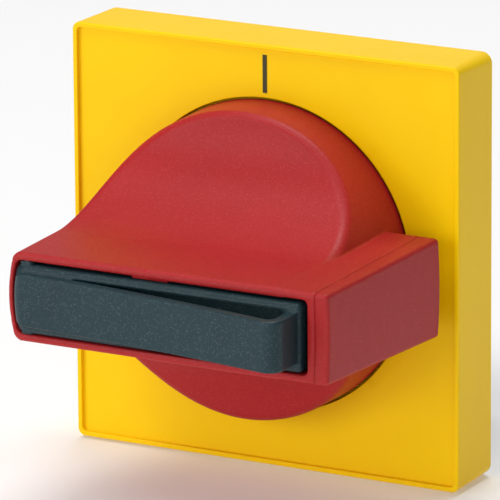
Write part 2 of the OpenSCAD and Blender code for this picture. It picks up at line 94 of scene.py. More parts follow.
def srgb(hex_code):
    """Linear colour of an sRGB hex value."""
    values = [int(hex_code[i:i + 2], 16) / 255 for i in (0, 2, 4)]
    return [v / 12.92 if v <= 0.04045 else ((v + 0.055) / 1.055) ** 2.4 for v in values]


# ---- settings ----

class SwitchSizes(bpy.types.PropertyGroup):
    """Sizes of the visible edges and of the mesh cells, in metres."""
    crest_radius: FloatProperty(
        name="Crest radius", description="Rounding between the swept faces and the round part",
        default=1.3 * MM, min=0.3 * MM, max=2.5 * MM, unit="LENGTH")
    edge_radius: FloatProperty(
        name="Edge radius", description="Rounding of the grip's long edges",
        default=0.7 * MM, min=0.3 * MM, max=1.2 * MM, unit="LENGTH")
    lip_radius: FloatProperty(
        name="Lip radius", description="Rounding of the recess's edges",
        default=0.35 * MM, min=0.2 * MM, max=0.5 * MM, unit="LENGTH")
    plate_edge_radius: FloatProperty(
        name="Plate edge radius", description="Rounding of the front plate's edges",
        default=0.3 * MM, min=0.1 * MM, max=0.4 * MM, unit="LENGTH")
    handle_cell: FloatProperty(
        name="Handle cell", description="Size of the handle's mesh cells",
        default=0.425 * MM, min=0.35 * MM, max=1 * MM, unit="LENGTH")
    lever_cell: FloatProperty(
        name="Lever cell", description="Size of the padlock lever's mesh cells",
        default=0.22 * MM, min=0.2 * MM, max=0.6 * MM, unit="LENGTH")


def colour_property(name, description, hex_code):
    """A colour that the user can change."""
    return FloatVectorProperty(name=name, description=description, default=srgb(hex_code),
                               subtype="COLOR", size=3, min=0, max=1)


class SwitchColours(bpy.types.PropertyGroup):
    """Colours of the mouldings."""
    plate: colour_property("Plate", "Colour of the front plate", "FFD000")
    handle: colour_property("Handle", "Colour of the handle and its end cap", "AA2022")
    lever: colour_property("Lever", "Colour of the padlock lever", "123036")
    mark: colour_property("Mark", "Colour of the printed marks", "453F28")
    body: colour_property("Switch body", "Colour of the switch body", "2A2C2E")


# ---- meshes ----

def place(points):
    """Points in millimetres from the rim, moved to the frame in metres."""
    points = np.array(points, float).reshape(-1, 3)
    return (points + [0, RIM_Y, 0]) * MM


def mesh_piece(name, points, faces, normals=None):
    """A new object with its place in its mesh."""
    mesh = bpy.data.meshes.new(name)
    mesh.from_pydata(place(points).tolist(), [], faces)
    mesh.update()
    piece = bpy.data.objects.new(name, mesh)
    bpy.context.scene.collection.objects.link(piece)
    if normals is not None:
        mesh.shade_smooth()
        mesh.normals_split_custom_set_from_vertices(normals.tolist())
    return piece


def finish_piece(piece, body, material, nodes, squeezed=None):
    """Material, body and replaced CAD nodes of a finished piece. A piece that is squeezed against
    a second body is attached to no body: its place is baked into its mesh, and the second body
    and the two ends given with it are not used."""
    piece.data.materials.clear()
    piece.data.materials.append(material)
    if squeezed:
        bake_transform(piece)
    else:
        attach(piece, body)
    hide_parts(*nodes)
    return piece


def common(a, b, radius):
    """Distance to what two solids share, with the edge between their faces rounded."""
    u = np.maximum(radius + a, 0)
    v = np.maximum(radius + b, 0)
    return np.minimum(-radius, np.maximum(a, b)) + np.hypot(u, v)


def joined(a, b, radius):
    """Distance to two solids as one, with a fillet in the corner between their faces."""
    return -common(-a, -b, radius)


def gradient(distance, points, reach=0.04):
    """Unit direction in which the distance grows at each point."""
    slopes = []
    for axis in range(3):
        ahead = points.copy()
        behind = points.copy()
        ahead[:, axis] += reach
        behind[:, axis] -= reach
        slopes.append(distance(*ahead.T) - distance(*behind.T))
    slopes = np.stack(slopes, 1)
    return slopes / np.maximum(np.linalg.norm(slopes, axis=1, keepdims=True), 1e-9)


# Cells of space before the low corner. It isn't whole, so that no grid plane lies in a flat face.
GRID_MARGIN = 1.37
# How firmly a surface point is held to the middle of its cell's crossings.
MIDDLE_PULL = 0.03
# Furthest that a surface point may lie from there, in cells.
POINT_REACH = 0.7


def skin_of(distance, low, high, cell):
    """Quads on the surface where a distance function is zero, by dual contouring.

    Each grid cell that the surface crosses gets one point, placed where the tangent planes at
    the cell's crossed edges meet, so that crisp edges stay crisp."""
    low = np.array(low, float) - GRID_MARGIN * cell
    counts = np.ceil((np.array(high) - low) / cell).astype(int) + 3
    axes = [low[i] + cell * np.arange(counts[i]) for i in range(3)]
    field = distance(*np.meshgrid(*axes, indexing="ij"))
    strides = np.array([counts[1] * counts[2], counts[2], 1])
    cells, hits, tangents, quads = [], [], [], []
    for axis in range(3):
        near = np.take(field, range(counts[axis] - 1), axis)
        ahead = np.take(field, range(1, counts[axis]), axis)
        at = np.argwhere((near < 0) != (ahead < 0))
        start = near[tuple(at.T)]
        share = start / (start - ahead[tuple(at.T)])
        hit = low + cell * at
        hit[:, axis] += cell * share
        normal = gradient(distance, hit)
        hit -= normal * distance(*hit.T)[:, None]
        one, two = [(axis + 1) % 3, (axis + 2) % 3]
        ids = at @ strides
        around = [ids, ids - strides[one], ids - strides[one] - strides[two], ids - strides[two]]
        quad = np.stack(around, 1)
        quad[start > 0] = quad[start > 0][:, ::-1]
        quads.append(quad)
        for corner in around:
            cells.append(corner)
            hits.append(hit)
            tangents.append(normal)
    cells, hits, tangents = np.concatenate(cells), np.concatenate(hits), np.concatenate(tangents)
    used, which = np.unique(cells, return_inverse=True)
    share = 1 / np.bincount(which)
    middle = np.stack([np.bincount(which, hits[:, i]) * share for i in range(3)], 1)
    offset = np.einsum("ij,ij->i", tangents, hits - middle[which])
    matrix = np.empty((len(used), 3, 3))
    target = np.empty((len(used), 3))
    for i in range(3):
        target[:, i] = np.bincount(which, tangents[:, i] * offset)
        for j in range(3):
            matrix[:, i, j] = np.bincount(which, tangents[:, i] * tangents[:, j])
    matrix += MIDDLE_PULL * np.eye(3)
    shift = np.linalg.solve(matrix, target[..., None])[..., 0]
    points = middle + np.clip(shift, -POINT_REACH * cell, POINT_REACH * cell)
    faces = np.searchsorted(used, np.concatenate(quads))
    return points, faces.tolist(), gradient(distance, points)


# ---- materials ----

def add_node(tree, kind, links=None, **settings):
    """Adds a node, sets its properties and inputs, and links inputs to other nodes' sockets."""
    node = tree.nodes.new(kind)
    inputs = settings.pop("inputs", {})
    for key, value in settings.items():
        setattr(node, key, value)
    for key, value in inputs.items():
        node.inputs[key].default_value = value
    for key, socket in (links or {}).items():
        tree.links.new(socket, node.inputs[key])
    return node


def new_material(name, roughness, metallic=0.0, ior=1.5):
    """Material with its shader, and the object's own coordinates."""
    material = bpy.data.materials.new(name)
    material.use_nodes = True
    tree = material.node_tree
    shader = tree.nodes["Principled BSDF"]
    shader.inputs["Roughness"].default_value = roughness
    shader.inputs["Metallic"].default_value = metallic
    shader.inputs["IOR"].default_value = ior
    place_node = add_node(tree, "ShaderNodeTexCoord")
    return material, tree, shader, place_node.outputs["Object"]


def ramp(tree, factor, stops):
    """Colour ramp through the given positions and linear colours."""
    node = add_node(tree, "ShaderNodeValToRGB", {"Fac": factor})
    elements = node.color_ramp.elements
    while len(elements) < len(stops):
        elements.new(0.5)
    for element, (position, colour) in zip(elements, stops):
        element.position = position
        element.color = [*colour, 1]
    return node.outputs["Color"]


def shade(colour, factor):
    """A lighter or darker colour, kept within range."""
    return [min(1.0, channel * factor) for channel in colour]


def moulded(name, colour, roughness, grain_mm, depth_mm, painted_glint=0.0, gloss=0.5, mottle=0.05):
    """Plastic or rubber from a spark-eroded mould: an even grain, faint flow mottle in its tone,
    and painted highlights: spots of paler base colour where single grains catch the light.
    An amount of zero leaves these painted glints out; larger amounts make them paler."""
    material, tree, shader, where = new_material(name, roughness)
    shader.inputs["Specular IOR Level"].default_value = gloss
    flow = add_node(tree, "ShaderNodeTexNoise", {"Vector": where},
                    inputs={"Scale": 1 / (14 * MM), "Detail": 3.0, "Roughness": 0.55})
    base = ramp(tree, flow.outputs["Fac"],
                [(0.3, shade(colour, 1 - mottle)), (0.7, shade(colour, 1 + mottle))])
    grain = add_node(tree, "ShaderNodeTexNoise", {"Vector": where},
                     inputs={"Scale": 1 / (grain_mm * MM), "Detail": 2.0, "Roughness": 0.6})
    # Mask of the grains that get a painted highlight: a random share of the cells, strongest near
    # their middles.
    cells = add_node(tree, "ShaderNodeTexVoronoi", {"Vector": where},
                     inputs={"Scale": 1 / (0.8 * grain_mm * MM)})
    lot = add_node(tree, "ShaderNodeSeparateColor", {"Color": cells.outputs["Color"]})
    chosen = add_node(tree, "ShaderNodeMapRange", {"Value": lot.outputs["Red"]},
                      inputs={"From Min": 0.6, "From Max": 1.0})
    near = add_node(tree, "ShaderNodeMapRange", {"Value": cells.outputs["Distance"]},
                    inputs={"From Min": 0.6, "From Max": 0.1})
    spot = add_node(tree, "ShaderNodeMath", {0: chosen.outputs["Result"],
                                             1: near.outputs["Result"]}, operation="MULTIPLY")
    # Painted highlight colour: the base colour lifted towards white, mixed in where the mask is.
    painted_glint_colour = [min(1.0, channel + painted_glint * (0.12 + channel)) for channel in colour]
    mix = add_node(tree, "ShaderNodeMix", {"Factor": spot.outputs["Value"], 6: base},
                   data_type="RGBA", inputs={7: (*painted_glint_colour, 1)})
    tree.links.new(mix.outputs[2], shader.inputs["Base Color"])
    rough = add_node(tree, "ShaderNodeMapRange", {"Value": grain.outputs["Fac"]},
                     inputs={"From Min": 0.3, "From Max": 0.7,
                             "To Min": roughness - 0.06, "To Max": roughness + 0.06})
    tree.links.new(rough.outputs["Result"], shader.inputs["Roughness"])
    bump = add_node(tree, "ShaderNodeBump", {"Height": grain.outputs["Fac"]},
                    inputs={"Strength": 1.0, "Distance": depth_mm * MM})
    tree.links.new(bump.outputs["Normal"], shader.inputs["Normal"])
    return material


def metal(name, hex_code, roughness, streak_mm, stretch=(1, 1, 1), tint=None, depth_mm=0.004):
    """Metal with fine marks drawn out along one direction, and a slow change of tone."""
    material, tree, shader, where = new_material(name, roughness, metallic=1.0)
    colour = srgb(hex_code)
    scaled = add_node(tree, "ShaderNodeMapping", {"Vector": where}, inputs={"Scale": stretch})
    marks = add_node(tree, "ShaderNodeTexNoise", {"Vector": scaled.outputs["Vector"]},
                     inputs={"Scale": 1 / (streak_mm * MM), "Detail": 4.0})
    tone = add_node(tree, "ShaderNodeTexNoise", {"Vector": where},
                    inputs={"Scale": 1 / (5 * MM), "Detail": 2.0})
    stops = [(0.3, shade(colour, 0.82)), (0.6, colour), (0.8, srgb(tint) if tint else colour)]
    tree.links.new(ramp(tree, tone.outputs["Fac"], stops), shader.inputs["Base Color"])
    rough = add_node(tree, "ShaderNodeMapRange", {"Value": marks.outputs["Fac"]},
                     inputs={"To Min": roughness - 0.08, "To Max": roughness + 0.12})
    tree.links.new(rough.outputs["Result"], shader.inputs["Roughness"])
    bump = add_node(tree, "ShaderNodeBump", {"Height": marks.outputs["Fac"]},
                    inputs={"Strength": 0.6, "Distance": depth_mm * MM})
    tree.links.new(bump.outputs["Normal"], shader.inputs["Normal"])
    return material


def make_materials(colours):
    """Every finish of the switch, by the record's slot."""
    plain = {name: list(getattr(colours, name)) for name in
             ("plate", "handle", "lever", "mark", "body")}
    return {
        # Satin polyamide: the grain is fine, so highlights are broad and soft.
        "yellow_plate": moulded("Polyamide_Moulded_Signal_Yellow", plain["plate"], 0.4, 0.25,
                                0.01, gloss=0.15, mottle=0.02),
        # Same polyamide in signal red, with a slightly coarser spark grain. Lighter points painted
        # into its colour are painted highlights where single grains catch the light.
        "red_handle": moulded("Polyamide_Moulded_Signal_Red", plain["handle"], 0.46, 0.3, 0.03,
                              painted_glint=0.25, gloss=0.25, mottle=0.04),
        # The cap's copy is painted 5% darker than the handle: painted shade for its end face, which
        # turns away from most of the lights.
        "red_cap": moulded("Polyamide_Moulded_Signal_Red_Cap", shade(plain["handle"], 0.95), 0.46,
                           0.3, 0.03, painted_glint=0.25, gloss=0.25, mottle=0.04),
        # Glass-filled polyamide: a coarser grain, with lighter points painted into its colour as
        # highlights where the fibres catch the light.
        "grey_lever": moulded("Polyamide_Glass_Filled_Grey", plain["lever"], 0.45, 0.36, 0.05,
                              painted_glint=0.5, gloss=0.33, mottle=0.1),
        # Pad-printing ink: matt, a little uneven.
        "grey_print": moulded("Ink_Pad_Printed_Grey", plain["mark"], 0.65, 0.2, 0.004,
                              gloss=0.3, mottle=0.1),
        # Acetal: milky, smooth and a little waxy.
        "white_acetal": moulded("Acetal_Moulded_Natural", srgb("E2DFD3"), 0.35, 0.6, 0.003,
                                mottle=0.04),
        # Nitrile rubber: black and matt with a faint mottle in its tone, and lighter points painted
        # into its colour as highlights where grains catch the light.
        "black_rubber": moulded("Nitrile_Rubber_Moulded", srgb("1B1B1C"), 0.75, 0.3, 0.02,
                                painted_glint=0.2, gloss=0.3, mottle=0.12),
        # Thermoset pressing: near black and faintly glossy, with lighter points painted into its
        # colour as highlights where filler grains catch the light.
        "black_thermoset": moulded("Thermoset_Pressed_Black", plain["body"], 0.38, 0.4, 0.01,
                                   painted_glint=0.4, mottle=0.1),
        # Cold-drawn steel bar: fine lines along the shaft.
        "steel": metal("Steel_Cold_Drawn", "9C9DA0", 0.34, 0.12, (1, 0.05, 1)),
        # Spring wire and strip: smooth with a faint straw tint from tempering.
        "spring_steel": metal("Spring_Steel_Tempered", "8F8E8C", 0.28, 0.3, tint="A09478"),
        # Zinc die casting: dull grey with a fine orange-peel skin.
        "zinc_cast": metal("Zinc_Die_Cast", "A8A9A6", 0.5, 0.5, depth_mm=0.02),
        # Zinc plate, blue passivated: bright, with a faint blue and straw shift.
        "zinc_plated": metal("Steel_Zinc_Plated", "B9BDC3", 0.26, 0.25, tint="C2BFA8"),
        # Rolled copper strip: rolling lines along the strip.
        "copper": metal("Copper_Rolled", "C98560", 0.32, 0.15, (1, 1, 0.05), tint="B5704E"),
    }


def slot_materials():
    """The made materials, kept by slot name."""
    return {m["slot"]: m for m in bpy.data.materials if "slot" in m}


def dress_node(node):
    """Gives a carried-over CAD node its slot's material."""
    record = frame["record"]
    slot = next(s["material_slot"] for s in record["subparts"] if s["node"] == node)
    data = frame["nodes"][node].data
    data.materials.clear()
    data.materials.append(slot_materials()[slot])


# ---- rings, turned solids and blocks ----

def square_ring(half, radius, per_side=24, per_corner=8):
    """Points of a rounded square in x and z, from the middle of the right side."""
    inner = half - radius
    ring = []
    for quarter in range(4):
        turn = Matrix.Rotation(quarter * math.pi / 2, 2)
        side = [(half, inner * (2 * i / per_side - 1)) for i in range(1, per_side)]
        corner = [(inner + radius * math.cos(a), inner + radius * math.sin(a))
                  for a in np.linspace(0, math.pi / 2, per_corner + 1)]
        ring += [tuple(turn @ Vector(p)) for p in side + corner]
    return np.array(ring)


def round_ring(radius, like):
    """Circle points at the angles of another ring."""
    return radius * like / np.linalg.norm(like, axis=1, keepdims=True)


def edge_arc(offset, depth, start, radius, steps=4):
    """Quarter arc as pairs of offset and depth, for rounding an edge between two rings."""
    angles = np.radians(np.linspace(start, start + 90, steps + 1))
    return [(offset + radius * math.cos(a), depth + radius * math.sin(a)) for a in angles]


def loft(rings):
    """Closed skin through equal rings given as points in x and z with their depth."""
    count = len(rings[0][0])
    points = [(x, depth, z) for ring, depth in rings for x, z in ring]
    faces = []
    for k in range(len(rings)):
        a, b = k * count, (k + 1) % len(rings) * count
        faces += [(a + i, b + i, b + (i + 1) % count, a + (i + 1) % count) for i in range(count)]
    return points, faces


def oriented(points, faces, name):
    """A piece from closed shells whose faces are turned outwards."""
    piece = mesh_piece(name, points, faces)
    work = bmesh.new()
    work.from_mesh(piece.data)
    bmesh.ops.remove_doubles(work, verts=work.verts, dist=1e-7)
    bmesh.ops.recalc_face_normals(work, faces=work.faces)
    work.to_mesh(piece.data)
    work.free()
    return piece


def settled(piece):
    """Applies a piece's modifiers, so that what is left is a plain mesh."""
    bpy.context.view_layer.update()
    evaluated = piece.evaluated_get(bpy.context.evaluated_depsgraph_get())
    mesh = bpy.data.meshes.new_from_object(evaluated)
    mesh.name = piece.name
    piece.modifiers.clear()
    piece.data = mesh
    return piece


def soften(piece, sharp_degrees=40.0):
    """Smooth shading that keeps flat faces flat and crisp edges crisp."""
    piece.data.shade_smooth()
    piece.data.set_sharp_from_angle(angle=math.radians(sharp_degrees))
    weighted = piece.modifiers.new("Weighted normals", "WEIGHTED_NORMAL")
    weighted.keep_sharp = True
    return settled(piece)


def join_pieces(pieces):
    """One object from several, under the first one's name."""
    work = bmesh.new()
    for piece in pieces:
        work.from_mesh(piece.data)
    work.to_mesh(pieces[0].data)
    work.free()
    for piece in pieces[1:]:
        bpy.data.objects.remove(piece)
    return pieces[0]


def turned(name, profile, segments=48, x=0.0, z=0.0):
    """A turned solid about an axis along y. The profile is a closed outline of radius and depth."""
    count = len(profile)
    points, faces = [], []
    for k in range(segments):
        a = 2 * math.pi * k / segments
        points += [(x + r * math.cos(a), y, z + r * math.sin(a)) for r, y in profile]
        for i in range(count):
            here, there = k * count, (k + 1) % segments * count
            j = (i + 1) % count
            faces.append((here + i, here + j, there + j, there + i))
    piece = oriented(points, faces, name)
    work = bmesh.new()
    work.from_mesh(piece.data)
    bmesh.ops.dissolve_degenerate(work, edges=work.edges, dist=1e-8)
    work.to_mesh(piece.data)
    work.free()
    return piece


def box_piece(name, low, high):
    """A plain block between two corners, used as part of a larger piece."""
    points = [(x, y, z) for x in (low[0], high[0]) for y in (low[1], high[1])
              for z in (low[2], high[2])]
    faces = [(0, 1, 3, 2), (4, 6, 7, 5), (0, 4, 5, 1), (2, 3, 7, 6), (0, 2, 6, 4), (1, 5, 7, 3)]
    return oriented(points, faces, name)


def cut_away(piece, cutters):
    """Cuts solids out of a piece."""
    for cutter in cutters:
        cut = piece.modifiers.new("Cut", "BOOLEAN")
        cut.operation = "DIFFERENCE"
        cut.solver = "EXACT"
        cut.object = cutter
        settled(piece)
        bpy.data.objects.remove(cutter)
    return piece


# ---- geometry node trees ----

def new_tree(name, inputs):
    """An empty geometry tree with its group input and output and named inputs."""
    tree = bpy.data.node_groups.new(name, "GeometryNodeTree")
    tree.is_modifier = True
    tree.interface.new_socket("Geometry", in_out="OUTPUT", socket_type="NodeSocketGeometry")
    tree.interface.new_socket("Geometry", in_out="INPUT", socket_type="NodeSocketGeometry")
    for label, kind in inputs:
        tree.interface.new_socket(label, in_out="INPUT", socket_type="NodeSocket" + kind)
    return tree, add_node(tree, "NodeGroupInput").outputs


def end_tree(tree, geometry, material):
    """Realises the instances, sets the material and ends the tree."""
    real = add_node(tree, "GeometryNodeRealizeInstances", {"Geometry": geometry})
    painted = add_node(tree, "GeometryNodeSetMaterial",
                       {"Geometry": real.outputs["Geometry"], "Material": material})
    add_node(tree, "NodeGroupOutput", {"Geometry": painted.outputs["Geometry"]})


def grid_copies_tree():
    """Copies one fastener onto the points of a grid that stands in the x and z plane."""
    tree, given = new_tree("Copies_On_Grid", [
        ("Columns", "Int"), ("Rows", "Int"), ("Width", "Float"), ("Height", "Float"),
        ("Material", "Material")])
    grid = add_node(tree, "GeometryNodeMeshGrid", {
        "Size X": given["Width"], "Size Y": given["Height"],
        "Vertices X": given["Columns"], "Vertices Y": given["Rows"]})
    upright = add_node(tree, "GeometryNodeTransform", {"Geometry": grid.outputs["Mesh"]},
                       inputs={"Rotation": (math.pi / 2, 0, 0)})
    copies = add_node(tree, "GeometryNodeInstanceOnPoints", {
        "Points": upright.outputs["Geometry"], "Instance": given["Geometry"]})
    end_tree(tree, copies.outputs["Instances"], given["Material"])
    return tree


def coil_tree():
    """A coil spring of round wire about y, from its first to its last coil's centre."""
    tree, given = new_tree("Coil_Spring", [
        ("Turns", "Float"), ("Coil radius", "Float"), ("Wire radius", "Float"),
        ("Length", "Float"), ("Start", "Vector"), ("Material", "Material")])
    helix = add_node(tree, "GeometryNodeCurveSpiral", {
        "Rotations": given["Turns"], "Start Radius": given["Coil radius"],
        "End Radius": given["Coil radius"], "Height": given["Length"]},
        inputs={"Resolution": 32})
    wire = add_node(tree, "GeometryNodeCurvePrimitiveCircle", {"Radius": given["Wire radius"]},
                    inputs={"Resolution": 12})
    skin = add_node(tree, "GeometryNodeCurveToMesh", {
        "Curve": helix.outputs["Curve"], "Profile Curve": wire.outputs["Curve"]},
        inputs={"Fill Caps": True})
    laid = add_node(tree, "GeometryNodeTransform", {
        "Geometry": skin.outputs["Mesh"], "Translation": given["Start"]},
        inputs={"Rotation": (-math.pi / 2, 0, 0)})
    end_tree(tree, laid.outputs["Geometry"], given["Material"])
    return tree


def grow(piece, tree, **values):
    """Runs a geometry tree on a piece and keeps the result as a plain mesh."""
    modifier = piece.modifiers.new(tree.name, "NODES")
    modifier.node_group = tree
    for item in tree.interface.items_tree:
        key = item.name.replace(" ", "_").lower()
        if item.in_out == "INPUT" and key in values:
            modifier[item.identifier] = values[key]
    return settled(piece)


# ---- front plate ----

RIM_W = 0.9
PANEL_Y = 0.8
WELL_R = 28.0
WELL_FLOOR_Y = 3.4
FLOOR_BACK_Y = 5.8
TUBE_R_OUT = 14.0
TUBE_R_IN = 12.3
PLATE_T = 12.8
PLATE_WALL = 2.4
OUTER_CORNER_R = 1.4
PANEL_CORNER_R = 1.7
REAR_CORNER_R = 1.9
WELL_LIP_R = 0.15
WELL_WALL = 2.2
# Flat that takes the sharpness off an edge that isn't seen from the front.
BREAK = 0.3
SCREW_PITCH = 56.0
SCREW_DEPTH = 9.0
BOSS_R = 4.2
SCREW_R = 1.65
RIB_X = 18.0
RIB_HALF = 0.6
BOLT_X = -18.5
BOLT_R = 1.95
LOCK_HOLE_R = BOLT_R + 0.35


def plate_rings(edge):
    """Rings from the plate's outer front edge, in over the panel, through the well and tube,
    and back along the rear."""
    half = PLATE_W / 2
    outer = square_ring(half, OUTER_CORNER_R)
    tube_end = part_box("front_plate")[1].y / MM - RIM_Y
    back = PANEL_Y + PLATE_WALL
    rings = []

    def squares(pairs, radius):
        rings.extend((square_ring(size, radius + size - half), depth) for size, depth in pairs)

    def circles(pairs):
        rings.extend((round_ring(size, outer), depth) for size, depth in pairs)

    squares(edge_arc(half - edge, edge, -90, edge)[::-1], OUTER_CORNER_R)
    squares(edge_arc(half - RIM_W + edge / 2, edge / 2, 180, edge / 2)[::-1], PANEL_CORNER_R)
    squares([(half - RIM_W, PANEL_Y - 0.1), (half - RIM_W - 0.1, PANEL_Y)], PANEL_CORNER_R)
    circles([(WELL_R + 3, PANEL_Y)])
    circles(edge_arc(WELL_R + 0.05, PANEL_Y + WELL_LIP_R, 180, WELL_LIP_R)[::-1])
    circles([(WELL_R - 0.1, WELL_FLOOR_Y - 0.4), (WELL_R - 0.22, WELL_FLOOR_Y - 0.12),
             (WELL_R - 0.5, WELL_FLOOR_Y), (TUBE_R_IN + BREAK, WELL_FLOOR_Y),
             (TUBE_R_IN, WELL_FLOOR_Y + BREAK), (TUBE_R_IN, tube_end - BREAK),
             (TUBE_R_IN + BREAK, tube_end), (TUBE_R_OUT - BREAK, tube_end),
             (TUBE_R_OUT, tube_end - BREAK), (TUBE_R_OUT, FLOOR_BACK_Y + 0.5),
             (TUBE_R_OUT + 0.5, FLOOR_BACK_Y), (WELL_R + WELL_WALL - 0.2, FLOOR_BACK_Y),
             (WELL_R + WELL_WALL, FLOOR_BACK_Y - 0.2), (WELL_R + WELL_WALL, back + BREAK),
             (WELL_R + WELL_WALL + BREAK, back)])
    inside = half - PLATE_WALL
    squares([(inside - BREAK, back), (inside, back + BREAK), (inside, PLATE_T - 0.2),
             (inside + 0.2, PLATE_T), (half - 0.25, PLATE_T), (half, PLATE_T - 0.25)],
            REAR_CORNER_R)
    return rings


class ISOLATOR_OT_front_plate(bpy.types.Operator):
    """Builds the yellow front plate with its rim, well, tube, screw bosses and ribs"""
    bl_idname = "isolator.front_plate"
    bl_label = "Front plate"

    def execute(self, context):
        sizes = context.scene.switch_sizes
        plate = oriented(*loft(plate_rings(sizes.plate_edge_radius / MM)), "Plate_Yellow")
        bore = [(0, 1), (LOCK_HOLE_R, 1), (LOCK_HOLE_R, 8), (0, 8)]
        cut_away(plate, [turned("Lock_Hole", bore, x=x, z=z)
                         for x, z in ((BOLT_X, 0), (0, -BOLT_X))])
        boss_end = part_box("plate_gasket")[1].y / MM - RIM_Y
        boss = turned("Boss", [
            (SCREW_R + BREAK, boss_end), (BOSS_R - BREAK, boss_end), (BOSS_R, boss_end - BREAK),
            (BOSS_R, PANEL_Y + 1), (0.001, PANEL_Y + 1), (0.001, boss_end - SCREW_DEPTH),
            (SCREW_R, boss_end - SCREW_DEPTH), (SCREW_R, boss_end - BREAK)])
        grow(boss, bpy.data.node_groups["Copies_On_Grid"], columns=2, rows=2,
             width=SCREW_PITCH * MM, height=SCREW_PITCH * MM,
             material=slot_materials()["yellow_plate"])
        ribs = [box_piece("Rib", (WELL_R + 1, PANEL_Y + 1, x - RIB_HALF),
                          (PLATE_W / 2 - 1, PLATE_T - 2, x + RIB_HALF)) for x in (-RIB_X, RIB_X)]
        rib = join_pieces(ribs)
        turns = []
        for k in range(4):
            copy = rib.copy()
            copy.data = rib.data.copy()
            copy.data.transform(Matrix.Rotation(k * math.pi / 2, 4, "Y"))
            context.scene.collection.objects.link(copy)
            turns.append(copy)
        bpy.data.objects.remove(rib)
        join_pieces([plate, boss, *turns])
        soften(plate, 50)
        finish_piece(plate, "housing", slot_materials()["yellow_plate"],
                     ["front_plate"])
        return {"FINISHED"}


# ---- handle ----

DRUM_R_REAR = 27.5
DRUM_R_FRONT = 26.85
REAR_Y = 1.6
GRIP_FRONT = 41.3
GRIP_REAR_Y = -4.3
GRIP_HALF_FRONT = 7.8
GRIP_SLOPE = 0.9 / (GRIP_FRONT + GRIP_REAR_Y)
SWEEP_R = 19.5
SWEEP_Y = -8.3 - SWEEP_R
SWEEP_Z = GRIP_HALF_FRONT + GRIP_SLOPE * (GRIP_FRONT + SWEEP_Y) + SWEEP_R
END_BULGE_R = 85.0
RECESS_BACK_Y = -27.5
RECESS_HALF = 6.45
RECESS_RIGHT_X = 30.25
RECESS_END_R = 25.95
NECK_R = 11.0
NECK_END_Y = 12.4
SHAFT_HALF = 3.08
SHAFT_FRONT_Y = -15.8
SCREW_BORE_R = 2.2
SPRING_BORE_R = 3.2
SPRING_BORE_END_Y = -14.0
# The seal's and the retaining ring's grooves: radius of the floor, middle and half width along y.
NECK_GROOVES = ((9.6, 7.4, 0.8), (10, 10.4, 0.6))
LUG_R = 26.1
LUG_HALF_T = 1.1
LUG_ANGLE = math.radians(240)
LUG_HALF_ANGLE = math.radians(6)
# Blocks and spaces inside the handle and its end cap, each from its low to its high corner.
LEDGE = ((3.6, -40.2, 6.2), (24, -37.5, 6.8))
LATCH_TAB = ((-2.9, -40.9, 6.05), (3.8, -37.5, 6.8))
TAIL_SPACE = ((-23.6, -28, -3.1), (-15.3, -24.9, 3.1))
PLUG_SPACE = ((29, -22, -4.2), (34, -9, 4.2))
CATCH_SPACE = ((29, -35.4, -2), (34, -32.6, 2))
PLUG = ((29.6, -21.88, -4.08), (33, -9.12, 4.08))
PLUG_HOLLOW = ((28, -20.8, -3), (32.6, -10.2, 3))
CATCH = ((29.75, -35.25, -1.85), (33, -32.75, 1.85))


def along_grip(y, front, rear):
    """A size that changes evenly from the grip's front to its rear."""
    return front + (rear - front) * (y + GRIP_FRONT) / (GRIP_FRONT + GRIP_REAR_Y)


def grip_faces(x, y, z):
    """Distances to the grip's long faces, long end, front and seam."""
    long_face = np.abs(z) - (GRIP_HALF_FRONT + GRIP_SLOPE * (GRIP_FRONT + y))
    end = np.hypot(x + END_BULGE_R, z) - END_BULGE_R - along_grip(y, 34.3, 36.2)
    return long_face, end, -GRIP_FRONT - y, x - along_grip(y, 31.65, 32.4)


def handle_outside(x, y, z, sizes):
    """Distance to the whole outer shape of the handle, end cap included."""
    crest, edge = sizes.crest_radius / MM, sizes.edge_radius / MM
    taper = (DRUM_R_REAR - DRUM_R_FRONT) / (REAR_Y + GRIP_FRONT)
    radius = np.hypot(x, z)
    drum = radius - DRUM_R_REAR - (y - REAR_Y) * taper
    long_face, end, front, _ = grip_faces(x, y, z)
    arc = SWEEP_R - np.hypot(y - SWEEP_Y, np.abs(z) - SWEEP_Z)
    sweep = np.where(y < SWEEP_Y, long_face, arc)
    hump = common(common(drum, sweep, crest), front, edge)
    hump = common(hump, y - REAR_Y, 0.4)
    block = common(common(long_face, end, edge), y - GRIP_REAR_Y, 0.4)
    block = np.maximum(common(block, front, edge), -x)
    return joined(hump, block, 0.3)


def recess_space(x, y, z):
    """Distance to the recess that the lever lies in, with rounded corners."""
    radius = np.hypot(x, z)
    ends = np.where(x < 0, np.maximum(radius - RECESS_END_R, x - 5), x - RECESS_RIGHT_X)
    space = common(np.abs(z) - RECESS_HALF, ends, 1.0)
    return np.maximum(space, y - RECESS_BACK_Y)


def box_space(x, y, z, low, high):
    """Distance to a block."""
    return np.maximum.reduce([low[0] - x, x - high[0], low[1] - y, y - high[1],
                              low[2] - z, z - high[2]])


